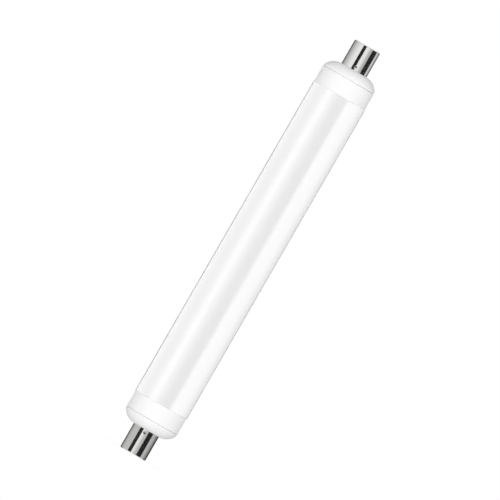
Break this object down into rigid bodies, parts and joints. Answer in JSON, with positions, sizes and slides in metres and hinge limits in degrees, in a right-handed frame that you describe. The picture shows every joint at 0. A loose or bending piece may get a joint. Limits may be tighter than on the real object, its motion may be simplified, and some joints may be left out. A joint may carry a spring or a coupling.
{
  "type": "tubular strip lamp",
  "caption": "Opal tubular strip lamp, closed at each end by a moulded collar and dome that carry a plated metal cap.",
  "frame": {"origin": "centre of the lower cap's end face, which the lamp stands on", "axes": "+Z along the lamp's axis towards the upper cap, -Y towards a punch mark on each cap"},
  "size_m": [0.039, 0.039, 0.31],
  "materials": {
    "opal_tube": "smooth opal white",
    "white_moulding": "semi-gloss white moulding",
    "plated_cap": "bright nickel plate over drawn metal",
    "solder": "dull solder"
  },
  "bodies": {
    "root": {"diffuser_tube": "opal_tube", "end_collar_lower": "white_moulding", "end_collar_upper": "white_moulding", "end_dome_lower": "white_moulding", "end_dome_upper": "white_moulding", "cap_shell_lower": "plated_cap", "cap_shell_upper": "plated_cap", "solder_spot_lower": "solder", "solder_spot_upper": "solder"}
  },
  "joints": []
}
